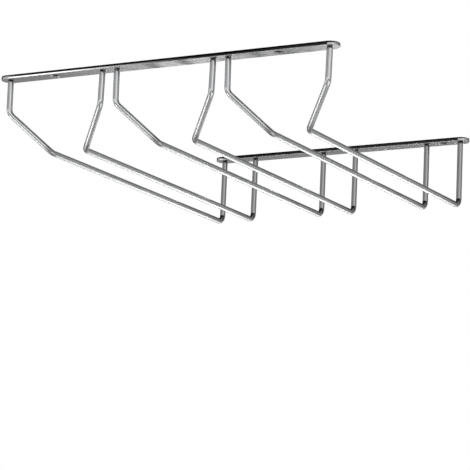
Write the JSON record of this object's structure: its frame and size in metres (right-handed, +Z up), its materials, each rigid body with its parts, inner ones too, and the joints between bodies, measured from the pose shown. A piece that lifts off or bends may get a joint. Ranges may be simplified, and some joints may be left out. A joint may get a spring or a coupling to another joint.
{
  "type": "hanging wine glass rack",
  "caption": "Wire rack that screws up under a shelf or cabinet; stemmed glasses slide in from the front between paired chrome rails and hang by their feet.",
  "frame": {"origin": "middle of the four screw holes, on the plane of the bars' top faces, which lie against the cabinet", "axes": "+Z up, +Y to the rear, away from the side where the glasses go in, +X to the right seen from the front"},
  "size_m": [0.3208, 0.337, 0.065],
  "materials": {
    "bar_chrome": "bright chrome plate",
    "wire_chrome": "bright chrome plate"
  },
  "bodies": {
    "root": {"front_bar": "bar_chrome", "rear_bar": "bar_chrome", "row_1_left_wire": "wire_chrome", "row_1_right_wire": "wire_chrome", "row_2_left_wire": "wire_chrome", "row_2_right_wire": "wire_chrome", "row_3_left_wire": "wire_chrome", "row_3_right_wire": "wire_chrome"}
  },
  "joints": []
}
